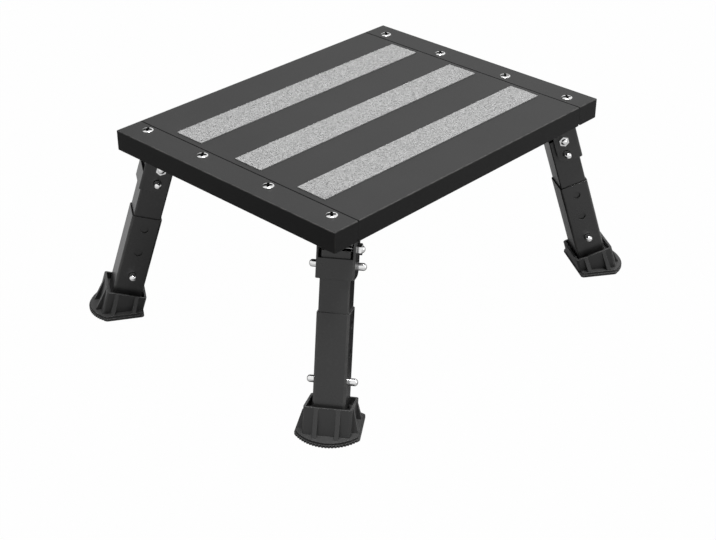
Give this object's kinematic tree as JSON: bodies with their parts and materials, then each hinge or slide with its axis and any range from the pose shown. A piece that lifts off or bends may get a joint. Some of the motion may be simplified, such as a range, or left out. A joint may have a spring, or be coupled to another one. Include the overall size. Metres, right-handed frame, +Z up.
{
  "type": "folding caravan entry step",
  "caption": "Low rectangular platform step with anti-slip strips on splayed square-tube legs that fold under the deck, telescope on spring buttons and stand on rubber feet.",
  "frame": {"origin": "on the ground, under the middle of the deck", "axes": "+X along the deck's long side, +Y across the deck, +Z up"},
  "size_m": [0.5926, 0.466, 0.25],
  "materials": {
    "deck_coat": "satin fine-textured black powder coat",
    "grip_grit": "light grey grit on adhesive tape",
    "frame_coat": "black powder coat",
    "leg_coat": "semi-gloss black powder coat",
    "chrome": "bright plated",
    "spring_steel": "plain spring steel",
    "spacer": "plain plated bush",
    "foot_rubber": "matt black moulded rubber"
  },
  "bodies": {
    "step_frame": {"deck_panel": "deck_coat", "end_cap_left": "deck_coat", "end_cap_right": "deck_coat", "grip_strip_front": "grip_grit", "grip_strip_middle": "grip_grit", "grip_strip_rear": "grip_grit", "crossbar_left": "frame_coat", "crossbar_right": "frame_coat", "stringer_front": "frame_coat", "stringer_rear": "frame_coat", "deck_screws": "chrome", "hinge_bolts": "chrome", "hinge_nuts": "chrome", "hinge_spacers": "spacer", "leg_bracket_front_left": "leg_coat", "leg_bracket_front_right": "leg_coat", "leg_bracket_rear_left": "leg_coat", "leg_bracket_rear_right": "leg_coat"},
    "upper_leg_front_left": {"upper_tube_front_left": "leg_coat", "lock_clip_front_left": "spring_steel", "height_clip_front_left": "spring_steel"},
    "lower_leg_front_left": {"lower_tube_front_left": "leg_coat", "foot_front_left": "foot_rubber"},
    "lock_button_a_front_left": {"lock_button_a_front_left": "chrome"},
    "lock_button_b_front_left": {"lock_button_b_front_left": "chrome"},
    "height_button_a_front_left": {"height_button_a_front_left": "chrome"},
    "height_button_b_front_left": {"height_button_b_front_left": "chrome"},
    "upper_leg_front_right": {"upper_tube_front_right": "leg_coat", "lock_clip_front_right": "spring_steel", "height_clip_front_right": "spring_steel"},
    "lower_leg_front_right": {"lower_tube_front_right": "leg_coat", "foot_front_right": "foot_rubber"},
    "lock_button_a_front_right": {"lock_button_a_front_right": "chrome"},
    "lock_button_b_front_right": {"lock_button_b_front_right": "chrome"},
    "height_button_a_front_right": {"height_button_a_front_right": "chrome"},
    "height_button_b_front_right": {"height_button_b_front_right": "chrome"},
    "upper_leg_rear_left": {"upper_tube_rear_left": "leg_coat", "lock_clip_rear_left": "spring_steel", "height_clip_rear_left": "spring_steel"},
    "lower_leg_rear_left": {"lower_tube_rear_left": "leg_coat", "foot_rear_left": "foot_rubber"},
    "lock_button_a_rear_left": {"lock_button_a_rear_left": "chrome"},
    "lock_button_b_rear_left": {"lock_button_b_rear_left": "chrome"},
    "height_button_a_rear_left": {"height_button_a_rear_left": "chrome"},
    "height_button_b_rear_left": {"height_button_b_rear_left": "chrome"},
    "upper_leg_rear_right": {"upper_tube_rear_right": "leg_coat", "lock_clip_rear_right": "spring_steel", "height_clip_rear_right": "spring_steel"},
    "lower_leg_rear_right": {"lower_tube_rear_right": "leg_coat", "foot_rear_right": "foot_rubber"},
    "lock_button_a_rear_right": {"lock_button_a_rear_right": "chrome"},
    "lock_button_b_rear_right": {"lock_button_b_rear_right": "chrome"},
    "height_button_a_rear_right": {"height_button_a_rear_right": "chrome"},
    "height_button_b_rear_right": {"height_button_b_rear_right": "chrome"}
  },
  "joints": [
    {"name": "fold_front_left", "type": "hinge", "parent": "step_frame", "child": "upper_leg_front_left", "pos_m": [-0.202, -0.1544, 0.2005], "axis": [0.5592, -0.829, 0], "range_deg": [0, 106], "deforming": ["lock_button_a_front_left", "lock_button_b_front_left"]},
    {"name": "extend_front_left", "type": "slide", "parent": "upper_leg_front_left", "child": "lower_leg_front_left", "axis": [0.2493, 0.1682, 0.9537], "range_m": [-0.0674, 0], "deforming": ["height_button_a_front_left", "height_button_b_front_left"]},
    {"name": "lock_press_a_front_left", "type": "slide", "parent": "upper_leg_front_left", "child": "lock_button_a_front_left", "axis": [0.5592, -0.829, 0], "range_m": [0, 0.0132], "stiffness_N_per_m": 1500, "springref_m": -0.004, "deforming": ["lock_clip_front_left"]},
    {"name": "lock_press_b_front_left", "type": "slide", "parent": "upper_leg_front_left", "child": "lock_button_b_front_left", "axis": [-0.5592, 0.829, 0], "range_m": [0, 0.0132], "stiffness_N_per_m": 1500, "springref_m": -0.004},
    {"name": "height_press_a_front_left", "type": "slide", "parent": "upper_leg_front_left", "child": "height_button_a_front_left", "axis": [0.5592, -0.829, 0], "range_m": [0, 0.012], "stiffness_N_per_m": 1500, "springref_m": -0.004, "deforming": ["height_clip_front_left"]},
    {"name": "height_press_b_front_left", "type": "slide", "parent": "upper_leg_front_left", "child": "height_button_b_front_left", "axis": [-0.5592, 0.829, 0], "range_m": [0, 0.012], "stiffness_N_per_m": 1500, "springref_m": -0.004},
    {"name": "fold_front_right", "type": "hinge", "parent": "step_frame", "child": "upper_leg_front_right", "pos_m": [0.202, -0.1544, 0.2005], "axis": [0.5592, 0.829, 0], "range_deg": [0, 106], "deforming": ["lock_button_a_front_right", "lock_button_b_front_right"]},
    {"name": "extend_front_right", "type": "slide", "parent": "upper_leg_front_right", "child": "lower_leg_front_right", "axis": [-0.2493, 0.1682, 0.9537], "range_m": [-0.0674, 0], "deforming": ["height_button_a_front_right", "height_button_b_front_right"]},
    {"name": "lock_press_a_front_right", "type": "slide", "parent": "upper_leg_front_right", "child": "lock_button_a_front_right", "axis": [0.5592, 0.829, 0], "range_m": [0, 0.0132], "stiffness_N_per_m": 1500, "springref_m": -0.004, "deforming": ["lock_clip_front_right"]},
    {"name": "lock_press_b_front_right", "type": "slide", "parent": "upper_leg_front_right", "child": "lock_button_b_front_right", "axis": [-0.5592, -0.829, 0], "range_m": [0, 0.0132], "stiffness_N_per_m": 1500, "springref_m": -0.004},
    {"name": "height_press_a_front_right", "type": "slide", "parent": "upper_leg_front_right", "child": "height_button_a_front_right", "axis": [0.5592, 0.829, 0], "range_m": [0, 0.012], "stiffness_N_per_m": 1500, "springref_m": -0.004, "deforming": ["height_clip_front_right"]},
    {"name": "height_press_b_front_right", "type": "slide", "parent": "upper_leg_front_right", "child": "height_button_b_front_right", "axis": [-0.5592, -0.829, 0], "range_m": [0, 0.012], "stiffness_N_per_m": 1500, "springref_m": -0.004},
    {"name": "fold_rear_left", "type": "hinge", "parent": "step_frame", "child": "upper_leg_rear_left", "pos_m": [-0.202, 0.1544, 0.2005], "axis": [-0.5592, -0.829, 0], "range_deg": [0, 106], "deforming": ["lock_button_a_rear_left", "lock_button_b_rear_left"]},
    {"name": "extend_rear_left", "type": "slide", "parent": "upper_leg_rear_left", "child": "lower_leg_rear_left", "axis": [0.2493, -0.1682, 0.9537], "range_m": [-0.0674, 0], "deforming": ["height_button_a_rear_left", "height_button_b_rear_left"]},
    {"name": "lock_press_a_rear_left", "type": "slide", "parent": "upper_leg_rear_left", "child": "lock_button_a_rear_left", "axis": [-0.5592, -0.829, 0], "range_m": [0, 0.0132], "stiffness_N_per_m": 1500, "springref_m": -0.004, "deforming": ["lock_clip_rear_left"]},
    {"name": "lock_press_b_rear_left", "type": "slide", "parent": "upper_leg_rear_left", "child": "lock_button_b_rear_left", "axis": [0.5592, 0.829, 0], "range_m": [0, 0.0132], "stiffness_N_per_m": 1500, "springref_m": -0.004},
    {"name": "height_press_a_rear_left", "type": "slide", "parent": "upper_leg_rear_left", "child": "height_button_a_rear_left", "axis": [-0.5592, -0.829, 0], "range_m": [0, 0.012], "stiffness_N_per_m": 1500, "springref_m": -0.004, "deforming": ["height_clip_rear_left"]},
    {"name": "height_press_b_rear_left", "type": "slide", "parent": "upper_leg_rear_left", "child": "height_button_b_rear_left", "axis": [0.5592, 0.829, 0], "range_m": [0, 0.012], "stiffness_N_per_m": 1500, "springref_m": -0.004},
    {"name": "fold_rear_right", "type": "hinge", "parent": "step_frame", "child": "upper_leg_rear_right", "pos_m": [0.202, 0.1544, 0.2005], "axis": [-0.5592, 0.829, 0], "range_deg": [0, 106], "deforming": ["lock_button_a_rear_right", "lock_button_b_rear_right"]},
    {"name": "extend_rear_right", "type": "slide", "parent": "upper_leg_rear_right", "child": "lower_leg_rear_right", "axis": [-0.2493, -0.1682, 0.9537], "range_m": [-0.0674, 0], "deforming": ["height_button_a_rear_right", "height_button_b_rear_right"]},
    {"name": "lock_press_a_rear_right", "type": "slide", "parent": "upper_leg_rear_right", "child": "lock_button_a_rear_right", "axis": [-0.5592, 0.829, 0], "range_m": [0, 0.0132], "stiffness_N_per_m": 1500, "springref_m": -0.004, "deforming": ["lock_clip_rear_right"]},
    {"name": "lock_press_b_rear_right", "type": "slide", "parent": "upper_leg_rear_right", "child": "lock_button_b_rear_right", "axis": [0.5592, -0.829, 0], "range_m": [0, 0.0132], "stiffness_N_per_m": 1500, "springref_m": -0.004},
    {"name": "height_press_a_rear_right", "type": "slide", "parent": "upper_leg_rear_right", "child": "height_button_a_rear_right", "axis": [-0.5592, 0.829, 0], "range_m": [0, 0.012], "stiffness_N_per_m": 1500, "springref_m": -0.004, "deforming": ["height_clip_rear_right"]},
    {"name": "height_press_b_rear_right", "type": "slide", "parent": "upper_leg_rear_right", "child": "height_button_b_rear_right", "axis": [0.5592, -0.829, 0], "range_m": [0, 0.012], "stiffness_N_per_m": 1500, "springref_m": -0.004}
  ],
  "couplings": [
    {"joint": "lock_press_b_front_left", "follows": "lock_press_a_front_left", "ratio": 1},
    {"joint": "height_press_b_front_left", "follows": "height_press_a_front_left", "ratio": 1},
    {"joint": "lock_press_b_front_right", "follows": "lock_press_a_front_right", "ratio": 1},
    {"joint": "height_press_b_front_right", "follows": "height_press_a_front_right", "ratio": 1},
    {"joint": "lock_press_b_rear_left", "follows": "lock_press_a_rear_left", "ratio": 1},
    {"joint": "height_press_b_rear_left", "follows": "height_press_a_rear_left", "ratio": 1},
    {"joint": "lock_press_b_rear_right", "follows": "lock_press_a_rear_right", "ratio": 1},
    {"joint": "height_press_b_rear_right", "follows": "height_press_a_rear_right", "ratio": 1}
  ]
}
